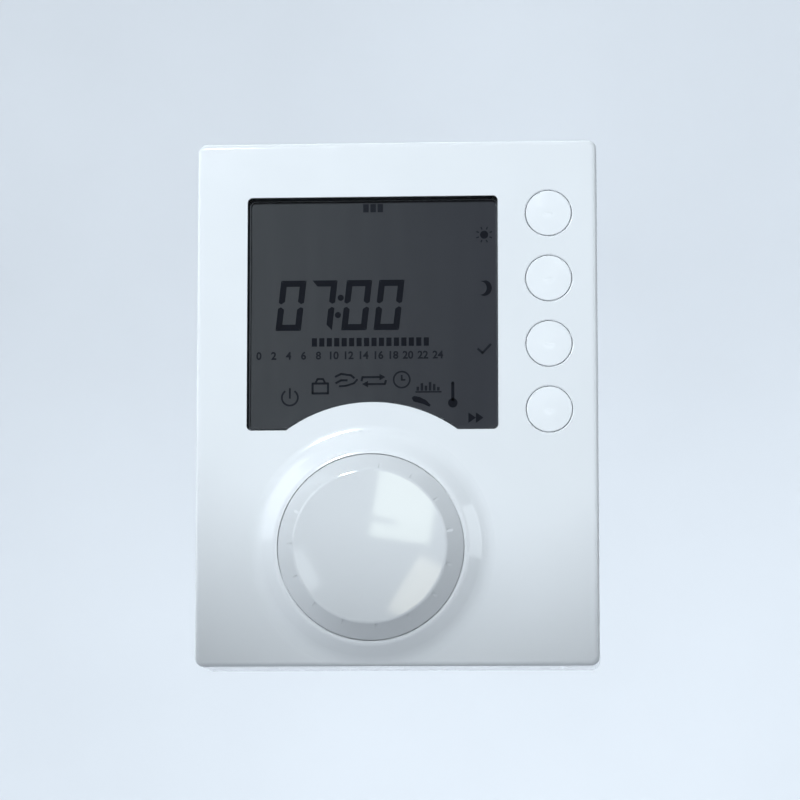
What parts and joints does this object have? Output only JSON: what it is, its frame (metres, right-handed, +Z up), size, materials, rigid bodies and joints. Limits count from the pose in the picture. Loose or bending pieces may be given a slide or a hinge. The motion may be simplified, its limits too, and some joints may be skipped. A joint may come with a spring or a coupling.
{
  "type": "programmable timer",
  "caption": "Wall-mounted programmable timer for a heating system, with a display window, a round dial, push buttons and a plug-on wall plate.",
  "frame": {"origin": "centre of the wall plate's back face, midway between the fixing slots, on the wall's surface", "axes": "+Z up the wall, +X to the right seen from the front, -Y out of the wall towards the user; the back face lies in Y = 0"},
  "size_m": [0.08, 0.0263, 0.105],
  "materials": {
    "white_gloss": "glossy moulded",
    "white_matt": "fine moulded texture",
    "clear_lens": "clear polished",
    "black_tape": "matt",
    "polariser": "satin film",
    "display_glass": "polished",
    "dark_plastic": "satin moulded",
    "contact_rubber": "matt",
    "board_green": "solder mask",
    "steel": "zinc plated",
    "nickel": "nickel plated",
    "brass": "plain",
    "chip_black": "moulded",
    "part_tan": "sintered",
    "capacitor_can": "drawn",
    "sensor_bead": "dipped",
    "relay_blue": "moulded",
    "connector_green": "moulded",
    "cell_jacket": "printed sleeve",
    "aluminium_shaft": "turned"
  },
  "bodies": {
    "wall_mount": {"wall_plate": "white_matt", "terminal_housing": "connector_green", "terminal_clamps": "nickel", "terminal_screws": "steel", "terminal_blades": "nickel", "terminal_block_screws": "steel"},
    "housing": {"front_cover": "white_gloss", "rear_cover": "white_matt", "display_window": "clear_lens", "window_tape": "black_tape", "lcd_front_polariser": "polariser", "lcd_front_glass": "display_glass", "lcd_rear_glass": "display_glass", "lcd_rear_polariser": "polariser", "lcd_frame": "dark_plastic", "zebra_strips": "contact_rubber", "circuit_board": "board_green", "board_screws": "steel", "case_screws": "steel", "microcontroller": "chip_black", "support_chips": "chip_black", "chip_resistors": "chip_black", "chip_capacitors": "part_tan", "crystal": "nickel", "smoothing_capacitors": "capacitor_can", "temperature_sensor": "sensor_bead", "relay_case": "relay_blue", "relay_base": "dark_plastic", "relay_pins": "nickel", "plug_socket": "dark_plastic", "socket_contacts": "nickel", "battery_upper": "cell_jacket", "battery_lower": "cell_jacket", "battery_springs": "nickel", "battery_tabs": "nickel", "battery_link": "nickel", "encoder_base": "dark_plastic", "encoder_cover": "steel", "encoder_detent_spring": "steel", "encoder_contacts": "brass", "switch_bases": "dark_plastic", "switch_covers": "steel", "switch_domes": "steel"},
    "dial": {"dial_knob": "white_gloss", "encoder_shaft": "aluminium_shaft", "encoder_rotor": "dark_plastic"},
    "button_comfort_body": {"button_comfort": "white_gloss", "switch_plunger_comfort": "dark_plastic"},
    "button_economy_body": {"button_economy": "white_gloss", "switch_plunger_economy": "dark_plastic"},
    "button_ok_body": {"button_ok": "white_gloss", "switch_plunger_ok": "dark_plastic"},
    "button_next_body": {"button_next": "white_gloss", "switch_plunger_next": "dark_plastic"}
  },
  "joints": [
    {"name": "module_swing", "type": "hinge", "parent": "wall_mount", "child": "housing", "pos_m": [0, -0.0034, 0.0486], "axis": [-1, 0, 0], "range_deg": [0, 16]},
    {"name": "dial_turn", "type": "hinge", "parent": "housing", "child": "dial", "pos_m": [-0.0049, -0.02, -0.02915], "axis": [0, 1, 0], "continuous": true},
    {"name": "press_comfort", "type": "slide", "parent": "housing", "child": "button_comfort_body", "axis": [0, 1, 0], "range_m": [0, 0.00025], "stiffness_N_per_m": 1500, "springref_m": -0.0005},
    {"name": "press_economy", "type": "slide", "parent": "housing", "child": "button_economy_body", "axis": [0, 1, 0], "range_m": [0, 0.00025], "stiffness_N_per_m": 1500, "springref_m": -0.0005},
    {"name": "press_ok", "type": "slide", "parent": "housing", "child": "button_ok_body", "axis": [0, 1, 0], "range_m": [0, 0.00025], "stiffness_N_per_m": 1500, "springref_m": -0.0005},
    {"name": "press_next", "type": "slide", "parent": "housing", "child": "button_next_body", "axis": [0, 1, 0], "range_m": [0, 0.00025], "stiffness_N_per_m": 1500, "springref_m": -0.0005}
  ]
}
